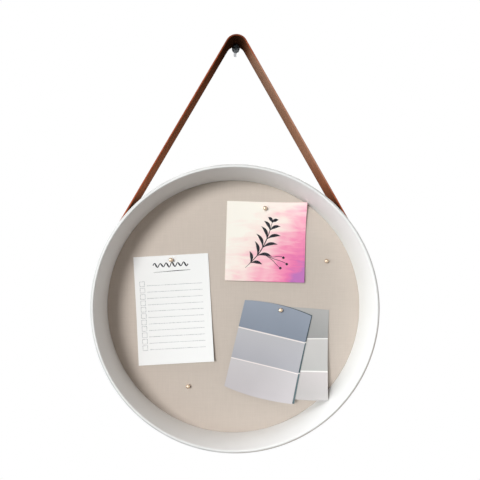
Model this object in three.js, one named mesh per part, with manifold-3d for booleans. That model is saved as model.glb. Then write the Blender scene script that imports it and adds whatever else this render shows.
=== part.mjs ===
// A round cork board in a deep white ring, hung on a leather strap from a wall screw.
// Millimetres. +Z is up, +Y goes into the wall, and the board looks towards -Y.
// The origin is where the wall screw's axis meets the wall.

import * as THREE from 'three';
import { mergeVertices } from 'three/addons/utils/BufferGeometryUtils.js';
import Module from 'manifold-3d';

const wasm = await Module();
wasm.setup();

// Fits
const fitGap = 0.3; // between pieces that touch
const packClearance = 0.4; // the covered board in the rim's rebate, all round
const needleClearance = 0.3; // a needle in its hole, all round
const cutOverrun = 1; // how far a cutter passes the face it cuts

// Rim: a turned ring with a drafted dish in front and a rebate behind
const rimOuterRadius = 190;
const rimDepth = 62;
const lipWidth = 4.8;
const lipOuterRounding = 2;
const lipInnerRounding = 1;
const dishDraft = 5.3; // how much the dish narrows from lip to fabric
const shoulderWidth = 2.5; // what the board pack presses against from behind
const rimBackChamfer = 1;
const packRecess = 2.1; // the framer's points off the wall

// Board pack, from front to back: fabric, cork, panel, turned-in fabric
const fabricThickness = 0.6;
const fabricEdgeRounding = 0.5;
const fabricTurnIn = 12;
const corkThickness = 8;
const panelThickness = 3;

// Framer's points that hold the pack in the rebate
const pointCount = 8;
const pointLength = 13;
const pointWidth = 7;
const pointThickness = 0.5;
const pointBite = 5; // how deep the tip sits in the rim's wood
const pointTipLength = 3;

// Strap: one band of leather round the rim's sides and over the wall screw
const strapWidth = 26;
const strapThickness = 2.2;
const strapTopHeight = 377; // top of its arch above the rim's axis
const strapArchRadius = 16; // outside
const strapTailLength = 17; // below the rim's axis, along the rim
const strapSetback = 14; // front edge behind the lip
const strapPastScrew = 17.5; // front edge before the screw's head, at the top

// Wall screw: a pan head with a cross recess
const wallScrewStandoff = 18; // front of the head off the wall
const wallScrewHeadRadius = 5.65;
const wallScrewHeadHeight = 3.6;
const wallScrewHeadRim = 1.4; // straight part of the head's side
const wallScrewShankRadius = 2.5;
const wallScrewShankLength = 42;
const wallScrewTipLength = 6;
const crossRecessSpan = 6.2;
const crossRecessWidth = 1.3;
const crossRecessDepth = 2.2;

// Screws that fix the strap's ends, two side by side at each end
const strapScrewHeadRadius = 4;
const strapScrewHeadHeight = 2.4;
const strapScrewShankRadius = 1.5;
const strapScrewBite = 4.2; // in the rim's wood
const strapScrewTipLength = 1.2;
const strapScrewSpacing = 12;
const strapScrewInset = 11; // from the strap's end, along the rim

// Push pins: a bead head on a needle
const pinHeadRadius = 3.1;
const pinHeadHeight = 4.8;
const pinCollarRadius = 1.7;
const pinCollarHeight = 0.8;
const needleRadius = 0.6;
const needleReach = 8.3; // from the head's base to the tip
const needleSeat = 2.4; // inside the head
const needleTipLength = 2.5;

// Papers, as shares of the dish's radius, so that they keep their places on any size of board.
// Sizes are width and length. Pins are right of the sheet's middle, and below its top edge.
const memoSizeShares = [0.5948, 0.8583];
const memoPinShares = [0.0011, 0.0384];
const cardSizeShares = [0.6281, 0.6309];
const cardPinShares = [-0.0133, 0.0511];
const colourSizeShares = [0.5414, 0.7004];
const colourBulgeShare = 0.0267;
const rearPinShares = [-0.1178, 0.0406];
const darkPinShares = [0.0156, 0.0145];
const frontPinShares = [0.02, 0.0122];
const memoThickness = 0.3;
const cardThickness = 0.4;

// Clockwise, in degrees
const memoTiltAngle = -3.76;
const cardTiltAngle = 1.2;
const rearTiltAngle = 2.9;
const darkTiltAngle = 12.2;
const frontTiltAngle = 13;

// How the papers bend away from the board: the bend starts so far from the pin
const memoLift = 2;
const memoBendStart = 40;
const cardLift = 6;
const cardBendStart = 10;
const colourLift = 20;
const colourBendStart = 20;
const bendOverrun = 12; // the bent strip passes the sheet's last corner by this

// Where things are pinned, from the rim's axis. Angles are from +X towards +Z.
const memoWallClearance = 20.6; // top left corner to the dish's wall
const memoCornerAngle = 154.4;
const cardCornerAngle = 55.3;
const colourCornerAngle = -44.1;
const cardBendHeading = 45;
const colourBendHeading = -45;
const sparePinShares = { right: [0.734, 0.367], left: [-0.353, -0.636] }; // of the dish's radius

// How finely round things are divided
const ringSegments = 96;
const screwSegments = 24;
const smallSegments = 14;
const needleSegments = 10;
const arcDivisions = 3;
const strapDivisions = 8;

// Derived depths, from the wall to the front
const pointY = -packRecess - pointThickness;
const fabricBackY = pointY - fitGap;
const turnInY = fabricBackY - fabricThickness;
const panelBackY = turnInY - fitGap;
const panelFrontY = panelBackY - panelThickness;
const corkBackY = panelFrontY - fitGap;
const corkFrontY = corkBackY - corkThickness;
const fabricY = corkFrontY - fitGap - fabricThickness;
const shoulderY = fabricY - fitGap;
const lipY = -rimDepth;
const dishDepth = fabricY - lipY;

// Derived radii
const lipInnerRadius = rimOuterRadius - lipWidth;
const dishRadius = lipInnerRadius - dishDraft;
const rebateRadius = dishRadius + shoulderWidth;
const packRadius = rebateRadius - packClearance;
const corkRadius = packRadius - fabricThickness - fitGap;
const strapSeatRadius = rimOuterRadius + fitGap;
const strapOuterRadius = strapSeatRadius + strapThickness;

// The strap hangs on the head of the wall screw
const rimAxisDrop = strapTopHeight - strapThickness - fitGap - wallScrewHeadRadius;

const radians = THREE.MathUtils.degToRad;

// A closed mesh as a solid that can be joined and cut
function solid(geometry) {
  const bare = geometry.clone();
  bare.deleteAttribute('normal');
  bare.deleteAttribute('uv');
  const merged = mergeVertices(bare);
  const corners = merged.index.array;
  const kept = [];
  for (let i = 0; i < corners.length; i += 3) {
    const [a, b, c] = corners.slice(i, i + 3);
    if (a !== b && b !== c && c !== a) kept.push(a, b, c); // a pole has flat triangles
  }
  return new wasm.Manifold(new wasm.Mesh({
    numProp: 3,
    vertProperties: new Float32Array(merged.attributes.position.array),
    triVerts: new Uint32Array(kept),
  }));
}

function piece(name, form, look) {
  const mesh = form.getMesh();
  const geometry = new THREE.BufferGeometry();
  geometry.setAttribute('position', new THREE.BufferAttribute(mesh.vertProperties, 3));
  geometry.setIndex(new THREE.BufferAttribute(mesh.triVerts, 1));
  geometry.computeVertexNormals();
  const result = new THREE.Mesh(geometry, look);
  result.name = name;
  return result;
}

function cutAll(form, cutters) {
  return cutters.reduce((left, cutter) => left.subtract(cutter), form);
}

// A profile turned round the Y axis: x is the radius, and y rises along outer walls
function turned(profile, segments) {
  return new THREE.LatheGeometry(profile.getPoints(arcDivisions), segments);
}

// A round bar along Y
function bar(radius, fromY, toY, segments) {
  const geometry = new THREE.CylinderGeometry(radius, radius, toY - fromY, segments);
  geometry.translate(0, (fromY + toY) / 2, 0);
  return geometry;
}

// Turns what lies along Y so that +Y points away from the rim's axis at an angle
function radially(geometry, angle) {
  geometry.rotateZ(-Math.PI / 2);
  geometry.rotateY(-angle);
  return geometry;
}

const looks = {
  lacquer: new THREE.MeshStandardMaterial({ color: 0xf4f3f0, roughness: 0.35, metalness: 0 }),
  fabric: new THREE.MeshStandardMaterial({ color: 0xcbc1b5, roughness: 0.95, metalness: 0 }),
  cork: new THREE.MeshStandardMaterial({ color: 0xb98d5e, roughness: 0.95, metalness: 0 }),
  hardboard: new THREE.MeshStandardMaterial({ color: 0x7a5a3c, roughness: 0.8, metalness: 0 }),
  leather: new THREE.MeshStandardMaterial({ color: 0x7c4a32, roughness: 0.55, metalness: 0 }),
  blackSteel: new THREE.MeshStandardMaterial({ color: 0x1c1c1e, roughness: 0.4, metalness: 0.8 }),
  steel: new THREE.MeshStandardMaterial({ color: 0xa8a9ab, roughness: 0.35, metalness: 1 }),
  brass: new THREE.MeshStandardMaterial({ color: 0xc9a06a, roughness: 0.25, metalness: 1 }),
  whitePaper: new THREE.MeshStandardMaterial({ color: 0xfbfbfa, roughness: 0.9, metalness: 0 }),
  pinkCard: new THREE.MeshStandardMaterial({ color: 0xf7c6d2, roughness: 0.7, metalness: 0 }),
  darkCard: new THREE.MeshStandardMaterial({ color: 0x3f5358, roughness: 0.7, metalness: 0 }),
  blueGreyCard: new THREE.MeshStandardMaterial({ color: 0xb4b7bf, roughness: 0.7, metalness: 0 }),
  warmGreyCard: new THREE.MeshStandardMaterial({ color: 0xcfcecb, roughness: 0.7, metalness: 0 }),
};

// Rim

function rimProfile() {
  const profile = new THREE.Path();
  const frontInner = [lipInnerRadius + lipInnerRounding, lipY + lipInnerRounding];
  const frontOuter = [rimOuterRadius - lipOuterRounding, lipY + lipOuterRounding];
  profile.moveTo(rebateRadius, shoulderY);
  profile.lineTo(dishRadius, shoulderY);
  profile.absarc(...frontInner, lipInnerRounding, Math.PI, 1.5 * Math.PI);
  profile.absarc(...frontOuter, lipOuterRounding, 1.5 * Math.PI, 2 * Math.PI);
  profile.lineTo(rimOuterRadius, -rimBackChamfer);
  profile.lineTo(rimOuterRadius - rimBackChamfer, 0);
  profile.lineTo(rebateRadius, 0);
  profile.lineTo(rebateRadius, shoulderY);
  return profile;
}

// The slot that a framer's point leaves in the rebate's wall
function pointSlot(angle) {
  const depth = pointBite + fitGap;
  const slot = new THREE.BoxGeometry(
    depth + cutOverrun, pointThickness + 2 * fitGap, pointWidth + 2 * fitGap);
  slot.translate(rebateRadius + (depth - cutOverrun) / 2, pointY + pointThickness / 2, 0);
  slot.rotateY(-angle);
  return solid(slot);
}

function rim() {
  const cutters = [...pointAngles.map(pointSlot), ...strapScrewPlaces.map(strapScrewHole)];
  return piece('rim', cutAll(solid(turned(rimProfile(), ringSegments)), cutters), looks.lacquer);
}

// Board pack

function fabricProfile() {
  const profile = new THREE.Path();
  const edge = [packRadius - fabricEdgeRounding, fabricY + fabricEdgeRounding];
  profile.moveTo(0, fabricY);
  profile.lineTo(packRadius - fabricEdgeRounding, fabricY);
  profile.absarc(...edge, fabricEdgeRounding, 1.5 * Math.PI, 2 * Math.PI);
  profile.lineTo(packRadius, fabricBackY);
  profile.lineTo(packRadius - fabricTurnIn, fabricBackY);
  profile.lineTo(packRadius - fabricTurnIn, turnInY);
  profile.lineTo(packRadius - fabricThickness, turnInY);
  profile.lineTo(packRadius - fabricThickness, fabricY + fabricThickness);
  profile.lineTo(0, fabricY + fabricThickness);
  return profile;
}

function fabricCover() {
  const form = solid(turned(fabricProfile(), ringSegments));
  return piece('fabric_cover', cutAll(form, pins.map(needleHole)), looks.fabric);
}

function corkSheet() {
  const form = solid(bar(corkRadius, corkFrontY, corkBackY, ringSegments));
  return piece('cork_sheet', cutAll(form, pins.map(needleHole)), looks.cork);
}

function backPanel() {
  return piece('back_panel', solid(bar(corkRadius, panelFrontY, panelBackY, ringSegments)),
    looks.hardboard);
}

// Framer's points

const pointAngles = Array.from({ length: pointCount },
  (_, i) => (i + 0.5) * 2 * Math.PI / pointCount);

// A flat steel tab, with its sharp end in the wood
function framersPoint(angle, i) {
  const tipRadius = rebateRadius + pointBite;
  const shape = new THREE.Shape();
  shape.moveTo(tipRadius - pointLength, -pointWidth / 2);
  shape.lineTo(tipRadius - pointTipLength, -pointWidth / 2);
  shape.lineTo(tipRadius, 0);
  shape.lineTo(tipRadius - pointTipLength, pointWidth / 2);
  shape.lineTo(tipRadius - pointLength, pointWidth / 2);
  const tab = new THREE.ExtrudeGeometry(shape, { depth: pointThickness, bevelEnabled: false });
  tab.rotateX(Math.PI / 2);
  tab.translate(0, pointY + pointThickness, 0);
  tab.rotateY(-angle);
  return piece(`framers_point_${i + 1}`, solid(tab), looks.steel);
}

// Strap

const archCentreHeight = strapTopHeight - strapArchRadius;
const strapTangent = Math.asin((strapOuterRadius - strapArchRadius) / archCentreHeight);
const strapEndAngle = -strapTailLength / strapOuterRadius;
const strapFrontAtRim = lipY + strapSetback;
const strapFrontAtTop = -wallScrewStandoff - strapPastScrew;

// The band from the side: up round the rim, straight to the arch, and down again
function strapShape() {
  const shape = new THREE.Shape();
  const outer = strapOuterRadius;
  const inner = strapSeatRadius;
  const arch = archCentreHeight;
  const left = Math.PI - strapTangent;
  const leftEnd = Math.PI - strapEndAngle;
  shape.absarc(0, 0, outer, strapEndAngle, strapTangent);
  shape.absarc(0, arch, strapArchRadius, strapTangent, left);
  shape.absarc(0, 0, outer, left, leftEnd);
  shape.absarc(0, 0, inner, leftEnd, left, true);
  shape.absarc(0, arch, strapArchRadius - strapThickness, left, strapTangent, true);
  shape.absarc(0, 0, inner, strapTangent, strapEndAngle, true);
  return shape;
}

function strap() {
  const settings = { depth: strapWidth, bevelEnabled: false, curveSegments: strapDivisions };
  const band = new THREE.ExtrudeGeometry(strapShape(), settings);
  band.rotateX(Math.PI / 2);
  band.translate(0, strapFrontAtRim + strapWidth, 0);
  const runStart = strapOuterRadius * Math.sin(strapTangent);
  const runEnd = archCentreHeight + (strapArchRadius - strapThickness) * Math.sin(strapTangent);
  const places = band.attributes.position;
  for (let i = 0; i < places.count; i += 1) {
    const share = (places.getZ(i) - runStart) / (runEnd - runStart);
    const along = THREE.MathUtils.clamp(share, 0, 1);
    // the straight runs drift back towards the wall, where the screw is
    places.setY(i, places.getY(i) + along * (strapFrontAtTop - strapFrontAtRim));
  }
  return piece('strap', cutAll(solid(band), strapScrewPlaces.map(strapScrewHole)), looks.leather);
}

// Strap screws

const strapScrewAngle = strapEndAngle + strapScrewInset / strapOuterRadius;
const strapScrewMiddleY = strapFrontAtRim + strapWidth / 2;
const strapScrewPlaces = [];
for (const [side, angle] of [['left', Math.PI - strapScrewAngle], ['right', strapScrewAngle]]) {
  for (const [row, shift] of [['front', -0.5], ['rear', 0.5]]) {
    const y = strapScrewMiddleY + shift * strapScrewSpacing;
    strapScrewPlaces.push({ name: `${side}_${row}`, angle, y });
  }
}

function strapScrewHole({ angle, y }) {
  const bottom = rimOuterRadius - strapScrewBite - fitGap;
  const hole = bar(strapScrewShankRadius + fitGap, bottom, strapOuterRadius + cutOverrun, needleSegments);
  radially(hole, angle);
  hole.translate(0, y, 0);
  return solid(hole);
}

function strapScrew({ name, angle, y }) {
  const seat = strapOuterRadius + fitGap;
  const tip = rimOuterRadius - strapScrewBite;
  const profile = new THREE.Path();
  profile.moveTo(0, tip);
  profile.lineTo(strapScrewShankRadius, tip + strapScrewTipLength);
  profile.lineTo(strapScrewShankRadius, seat);
  profile.lineTo(strapScrewHeadRadius, seat);
  profile.absellipse(0, seat, strapScrewHeadRadius, strapScrewHeadHeight, 0, Math.PI / 2);
  const screw = radially(turned(profile, smallSegments), angle);
  screw.translate(0, y, 0);
  return piece(`strap_screw_${name}`, solid(screw), looks.steel);
}

// Wall screw

function wallScrew() {
  const top = -wallScrewStandoff;
  const seat = top + wallScrewHeadHeight;
  const end = seat + wallScrewShankLength;
  const domeHeight = wallScrewHeadHeight - wallScrewHeadRim;
  const profile = new THREE.Path();
  profile.moveTo(0, top);
  profile.absellipse(0, top + domeHeight, wallScrewHeadRadius, domeHeight, 1.5 * Math.PI, 2 * Math.PI);
  profile.lineTo(wallScrewHeadRadius, seat);
  profile.lineTo(wallScrewShankRadius, seat);
  profile.lineTo(wallScrewShankRadius, end - wallScrewTipLength);
  profile.lineTo(0, end);
  const arm = [crossRecessSpan, crossRecessDepth + cutOverrun, crossRecessWidth];
  const recess = new THREE.BoxGeometry(...arm);
  recess.translate(0, top + (crossRecessDepth - cutOverrun) / 2, 0);
  const crossing = recess.clone().rotateY(Math.PI / 2);
  const form = cutAll(solid(turned(profile, screwSegments)), [solid(recess), solid(crossing)]);
  return piece('wall_screw', form, looks.blackSteel);
}

// Papers

function sheetOf([width, length], [across, down], thickness, tilt, bulge = 0) {
  return {
    width: width * dishRadius,
    length: length * dishRadius,
    across: across * dishRadius,
    down: down * dishRadius,
    bulge: bulge * dishRadius,
    thickness,
    tilt,
  };
}

function colourCard(pinShares, tilt) {
  return sheetOf(colourSizeShares, pinShares, cardThickness, tilt, colourBulgeShare);
}

const memo = sheetOf(memoSizeShares, memoPinShares, memoThickness, memoTiltAngle);
const card = sheetOf(cardSizeShares, cardPinShares, cardThickness, cardTiltAngle);
const rearColours = colourCard(rearPinShares, rearTiltAngle);
const darkColours = colourCard(darkPinShares, darkTiltAngle);
const frontColours = colourCard(frontPinShares, frontTiltAngle);

// A sheet's own right and up, seen from the front, when it hangs at a clockwise tilt
function axesOf({ tilt }) {
  const turn = radians(tilt);
  return {
    right: new THREE.Vector2(Math.cos(turn), -Math.sin(turn)),
    up: new THREE.Vector2(Math.sin(turn), Math.cos(turn)),
  };
}

// From the sheet's middle to a point of it
function within(sheet, toRight, toTop) {
  const { right, up } = axesOf(sheet);
  return right.multiplyScalar(toRight).add(up.multiplyScalar(toTop));
}

function pinWithin(sheet) {
  return within(sheet, sheet.across, sheet.length / 2 - sheet.down);
}

function polar(radius, degrees) {
  return new THREE.Vector2(Math.cos(radians(degrees)), Math.sin(radians(degrees))).multiplyScalar(radius);
}

// The dish's wall at a height off the fabric
function wallRadius(height) {
  return dishRadius + dishDraft * height / dishDepth;
}

const memoCorner = polar(wallRadius(fitGap) - memoWallClearance, memoCornerAngle);
const memoMiddle = memoCorner.clone().sub(within(memo, -memo.width / 2, memo.length / 2));
const memoPin = memoMiddle.clone().add(pinWithin(memo));

// The card's corner and the rear colour card's lean on the dish's wall
const cardCorner = polar(wallRadius(fitGap + cardLift) - fitGap, cardCornerAngle);
const cardMiddle = cardCorner.clone().sub(within(card, card.width / 2, card.length / 2));
const cardPin = cardMiddle.clone().add(pinWithin(card));

const colourCorner = polar(wallRadius(fitGap + colourLift) - fitGap, colourCornerAngle);
const rearMiddle = colourCorner.clone()
  .sub(within(rearColours, rearColours.width / 2, -rearColours.length / 2));
const colourPin = rearMiddle.clone().add(pinWithin(rearColours));

// A bend that brings a corner to its lift: its centre line lies `radius` off the fabric
function bend(pin, corner, headingDegrees, start, lift) {
  const heading = radians(headingDegrees);
  const direction = new THREE.Vector2(Math.cos(heading), Math.sin(heading));
  const reach = corner.clone().sub(pin).dot(direction);
  const run = reach - start;
  return { heading, start, reach, radius: (run * run + lift * lift) / (2 * lift) };
}

const memoFoot = memoMiddle.clone().add(within(memo, 0, -memo.length / 2));
const memoBend = bend(memoPin, memoFoot, -90 - memo.tilt, memoBendStart, memoLift);
const cardBend = bend(cardPin, cardCorner, cardBendHeading, cardBendStart, cardLift);
const colourBend = bend(colourPin, colourCorner, colourBendHeading, colourBendStart, colourLift);

function sheetOutline({ width, length, bulge }) {
  const shape = new THREE.Shape();
  shape.moveTo(-width / 2, -length / 2);
  shape.quadraticCurveTo(0, -length / 2 - 2 * bulge, width / 2, -length / 2);
  shape.lineTo(width / 2, length / 2);
  shape.quadraticCurveTo(0, length / 2 + 2 * bulge, -width / 2, length / 2);
  return shape;
}

// A sheet round its pin: a bent strip, trimmed to the sheet's outline.
// offset is how far its back stands off the fabric where it is flat.
function bentSheet(sheet, offset, { heading, start, reach, radius }) {
  const half = sheet.width + sheet.length;
  const sweep = Math.asin((reach + bendOverrun - start) / radius);
  const back = radius - offset;
  const front = back - sheet.thickness;
  const strip = new THREE.Shape();
  const quarter = Math.PI / 2;
  strip.moveTo(-half, offset);
  strip.lineTo(start, offset);
  strip.absarc(start, radius, back, -quarter, sweep - quarter);
  strip.absarc(start, radius, front, sweep - quarter, -quarter, true);
  strip.lineTo(-half, offset + sheet.thickness);
  const bent = new THREE.ExtrudeGeometry(strip, {
    depth: 2 * half, bevelEnabled: false, curveSegments: arcDivisions,
  });
  bent.translate(0, 0, -half);
  const along = new THREE.Vector3(Math.cos(heading), 0, Math.sin(heading));
  const out = new THREE.Vector3(0, -1, 0);
  bent.applyMatrix4(new THREE.Matrix4().makeBasis(along, out, along.clone().cross(out)));

  const outline = new THREE.ExtrudeGeometry(sheetOutline(sheet), {
    depth: dishDepth + cutOverrun, bevelEnabled: false, curveSegments: 2 * arcDivisions,
  });
  outline.rotateX(Math.PI / 2);
  outline.translate(0, cutOverrun, 0);
  outline.rotateY(radians(sheet.tilt));
  const middle = pinWithin(sheet).negate();
  outline.translate(middle.x, 0, middle.y);

  const hole = bar(needleRadius + needleClearance, -dishDepth, cutOverrun, needleSegments);
  return solid(bent).intersect(solid(outline)).subtract(solid(hole));
}

function paper(name, sheet, pin, offset, curve, look) {
  const mesh = piece(name, bentSheet(sheet, offset, curve), look);
  mesh.position.set(pin.x, fabricY, pin.y);
  return mesh;
}

// The colour cards lie on each other, from back to front
const darkOffset = fitGap + cardThickness + fitGap;
const frontOffset = darkOffset + cardThickness + fitGap;

// Pins. `under` is what lies between the pin's head and the fabric.

const pins = [
  { name: 'memo', x: memoPin.x, z: memoPin.y, under: fitGap + memoThickness },
  { name: 'card', x: cardPin.x, z: cardPin.y, under: fitGap + cardThickness },
  { name: 'colours', x: colourPin.x, z: colourPin.y, under: frontOffset + cardThickness },
];
for (const [side, [x, z]] of Object.entries(sparePinShares)) {
  pins.push({ name: `spare_${side}`, x: x * dishRadius, z: z * dishRadius, under: 0 });
}

function pinBase({ under }) {
  return fabricY - under - fitGap;
}

function needleHole(pin) {
  const end = pinBase(pin) + needleReach + needleClearance;
  const hole = bar(needleRadius + needleClearance, fabricY - cutOverrun, end, needleSegments);
  hole.translate(pin.x, 0, pin.z);
  return solid(hole);
}

function pinHead(pin) {
  const base = pinBase(pin);
  const seatRadius = needleRadius + fitGap;
  const seatY = base - needleSeat - fitGap;
  const beadHeight = pinHeadHeight - pinCollarHeight;
  const beadStart = Math.acos(pinCollarRadius / pinHeadRadius);
  const profile = new THREE.Path();
  profile.moveTo(0, base - pinHeadHeight);
  profile.absellipse(0, base - pinCollarHeight - beadHeight / 2, pinHeadRadius, beadHeight / 2,
    -Math.PI / 2, beadStart);
  profile.lineTo(pinCollarRadius, base);
  profile.lineTo(seatRadius, base);
  profile.lineTo(seatRadius, seatY);
  profile.lineTo(0, seatY);
  const head = turned(profile, smallSegments);
  head.translate(pin.x, 0, pin.z);
  return piece(`pin_head_${pin.name}`, solid(head), looks.brass);
}

function pinNeedle(pin) {
  const base = pinBase(pin);
  const profile = new THREE.Path();
  profile.moveTo(0, base - needleSeat);
  profile.lineTo(needleRadius, base - needleSeat);
  profile.lineTo(needleRadius, base + needleReach - needleTipLength);
  profile.lineTo(0, base + needleReach);
  const needle = turned(profile, needleSegments);
  needle.translate(pin.x, 0, pin.z);
  return piece(`pin_needle_${pin.name}`, solid(needle), looks.steel);
}

// Everything that hangs on the strap is placed from the rim's axis
const hungBoard = new THREE.Group();
hungBoard.position.z = -rimAxisDrop;
hungBoard.add(rim(), strap(), fabricCover(), corkSheet(), backPanel());
hungBoard.add(...pointAngles.map(framersPoint), ...strapScrewPlaces.map(strapScrew));
hungBoard.add(
  paper('memo_sheet', memo, memoPin, fitGap, memoBend, looks.whitePaper),
  paper('square_card', card, cardPin, fitGap, cardBend, looks.pinkCard),
  paper('colour_card_rear', rearColours, colourPin, fitGap, colourBend, looks.warmGreyCard),
  paper('colour_card_dark', darkColours, colourPin, darkOffset, colourBend, looks.darkCard),
  paper('colour_card_front', frontColours, colourPin, frontOffset, colourBend, looks.blueGreyCard),
);
hungBoard.add(...pins.map(pinHead), ...pins.map(pinNeedle));

const corkBoard = new THREE.Group();
corkBoard.add(wallScrew(), hungBoard);

export default corkBoard;
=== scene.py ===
"""A round pin board, set deep in a white ring, that hangs on a leather strap from a wall screw.

Lengths are in metres. +Z is up, and the board looks towards -Y. Every piece is built where the
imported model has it.
"""

from math import acos, asin, atan2, cos, pi, radians, sin, sqrt, tau

import bmesh
import bpy
from mathutils import Matrix, Vector


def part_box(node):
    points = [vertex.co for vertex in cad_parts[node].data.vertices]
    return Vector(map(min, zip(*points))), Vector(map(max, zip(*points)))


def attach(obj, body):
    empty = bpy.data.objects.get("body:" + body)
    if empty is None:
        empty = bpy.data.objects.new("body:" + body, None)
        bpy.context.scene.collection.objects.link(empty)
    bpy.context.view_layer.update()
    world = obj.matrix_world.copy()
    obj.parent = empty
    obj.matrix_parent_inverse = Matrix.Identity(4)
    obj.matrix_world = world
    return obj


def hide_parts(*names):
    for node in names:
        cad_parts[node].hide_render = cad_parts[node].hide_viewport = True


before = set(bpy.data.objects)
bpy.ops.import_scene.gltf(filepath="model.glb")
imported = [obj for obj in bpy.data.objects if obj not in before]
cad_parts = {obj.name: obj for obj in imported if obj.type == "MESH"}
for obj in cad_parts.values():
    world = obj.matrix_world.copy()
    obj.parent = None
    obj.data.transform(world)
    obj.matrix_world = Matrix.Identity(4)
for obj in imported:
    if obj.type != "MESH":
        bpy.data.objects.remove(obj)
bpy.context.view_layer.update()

MM = 0.001
NEAR = 1e-6  # two places closer than this are one

# Rim sizes
LIP_WIDTH = 4.8 * MM
DISH_DRAFT = 5.3 * MM
SHOULDER_WIDTH = 2.5 * MM
FIT_GAP = 0.3 * MM  # between pieces that rest on each other
LIP_ROUNDING = 3.2 * MM  # outside
DISH_ROUNDING = 1 * MM  # inside the lip
BACK_ROUNDING = 1 * MM
SHOULDER_ROUNDING = 0.4 * MM
RIM_STEPS = 240
rim_low, rim_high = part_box("rim")
AXIS = Vector((0, 0, (rim_low.z + rim_high.z) / 2))
OUTER_RADIUS = (rim_high.x - rim_low.x) / 2
LIP_Y = rim_low.y
DISH_RADIUS = OUTER_RADIUS - LIP_WIDTH - DISH_DRAFT
REBATE_RADIUS = DISH_RADIUS + SHOULDER_WIDTH

# Cloth sizes
CLOTH_THICKNESS = 0.6 * MM
CLOTH_TURN_IN = 12 * MM
CLOTH_EDGE = 1.2 * MM  # how softly it turns over the cork's edge
PLEAT_ROOM = 0.1 * MM  # left behind the turned-in cloth
CLOTH_STEPS = 192
PLEATS = 40
PLEAT_DEPTH = 0.12 * MM
cloth_low, cloth_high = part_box("fabric_cover")
CLOTH_Y = cloth_low.y

# Strap sizes
STRAP_WIDTH = 26 * MM
STRAP_THICKNESS = 2.2 * MM
STRAP_ARCH_RADIUS = 16 * MM
STRAP_TAIL = 17 * MM  # how far its ends reach below the rim's middle
STRAP_SETBACK = 14 * MM  # from the lip
STRAP_SEAT = OUTER_RADIUS + FIT_GAP
STRAP_DRIFT = 12.5 * MM  # how far the runs lean back on their way up
STRAP_EDGE_ROUNDING = 0.5 * MM
STRAP_TAIL_STEPS, STRAP_RUN_STEPS, STRAP_ARCH_STEPS = 20, 30, 24

# Paper sizes, in mm. A bend heads off from the pin at an angle, starts so far from it, and lifts
# the corner that is named by its side and its height.
MEMO_SIZE = (107, 154.4)
SQUARE_SIZE = (113, 113.5)
RULE_TOP = 41.9
RULE_PITCH = 9.1
RULE_COUNT = 11
RULE_WIDTH = 0.7
RULE_LEFT = 16.7
RULE_RIGHT = 96.2
BOX_SIZE = 6.8
BOX_MIDDLE = 10.5
BOX_RISE = 2.7
PAPER_GAP = 0.3  # between the cloth and the sheet that lies on it
MEMO_THICKNESS = 0.3
CARD_THICKNESS = 0.4
CARD_PITCH = 0.7  # from one colour card to the next one
MEMO_TILT = -3.76
MEMO_BEND = {"heading": -90 - MEMO_TILT, "start": 40, "lift": 2, "lifted": (0, -1)}
SQUARE_BEND = {"heading": 45, "start": 10, "lift": 6, "lifted": (1, 1)}
COLOUR_BEND = {"heading": -45, "start": 45, "lift": 20, "lifted": (1, -1)}
COLOUR_SIZE = (97.4, 126)
COLOUR_BULGES = (4.8, 4.8)  # how far its top and its foot bow out
REAR_SIZE = (97.4, 123)
REAR_BULGES = (1, 4.8)

# Ink, pin and screw sizes
INK_THICKNESS = 0.05 * MM
PIN_COLLAR = 0.8 * MM
PIN_COLLAR_RADIUS = 1.7 * MM
PIN_STEPS = 40
BEAD_STEPS = 16
SCREW_HEAD_DEPTH = 3.6 * MM
SCREW_EDGE = 1.4 * MM
SCREW_RADIUS = 2.5 * MM
SCREW_CORE = 1.8 * MM
SCREW_TIP = 6 * MM
SCREW_RECESS = (6.6 * MM, 1.7 * MM)
SCREW_RECESS_DEPTH = 2.2 * MM
SCREW_STEPS = 48
THREAD_PITCH = 2 * MM
THREAD_HALF = 0.45 * MM
THREAD_ROOT = 0.1 * MM  # how deep a thread starts in the core
THREAD_STEPS = 28
STRAP_SCREW_TURN = radians(-1.79)
STRAP_SCREW_HEAD = 4 * MM
STRAP_SCREW_DOME = 1.7 * MM
STRAP_SCREW_HEAD_DEPTH = 2.4 * MM
STRAP_SCREW_SHANK = 1.5 * MM
STRAP_SCREW_TIP = 1.2 * MM
STRAP_SCREW_SLOT = (9 * MM, 2.2 * MM, 1 * MM)
STRAP_SCREW_SLOT_TURN = radians(35)
STRAP_SCREW_STEPS = 36
SCREW_CREASE = 28

# Pattern sizes of the finishes
ORANGE_PEEL = 2.5 * MM
LATHE_RINGS = 1.6 * MM  # coarser than the real ones, so that they show
LACQUER_CLOUDS = 90 * MM
EDGE_SHADE_PATCHES = 30 * MM
EDGE_SHADE_IN = (3.2 * MM, 2.2 * MM)  # where the painted shade on the lip's rounding starts and is full, in from the rim's outside
EDGE_SHADE_BACK = (3.5 * MM, 2 * MM)  # the same, back from its lip
LOWER_RIGHT = Vector((1, 0, -1)).normalized()
EDGE_SHADE_DEEPENS = (0.55 * OUTER_RADIUS, 0.9 * OUTER_RADIUS)  # where the painted edge shade deepens to brown, to the lower right, away from the lamps
LINEN_THREADS = 2.4 * MM  # the real one, 0.6 mm, would blur
LINEN_SLUBS = 22 * MM
LEATHER_STREAKS = 1.6 * MM
LEATHER_CLOUDS = 25 * MM
LEATHER_PORES = 0.8 * MM
EDGE_FIBRES = 0.8 * MM
CORK_GRAINS = 3 * MM
BOARD_FIBRES = 1.5 * MM
BOARD_CLOUDS = 40 * MM
INK_POOLS = 4 * MM
FLOOR_CLOUDS = 400 * MM
DIVIDER_WIDTH = 0.0125  # this and the next one are shares of a card's length
CRISP_EDGE = 0.0005

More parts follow.
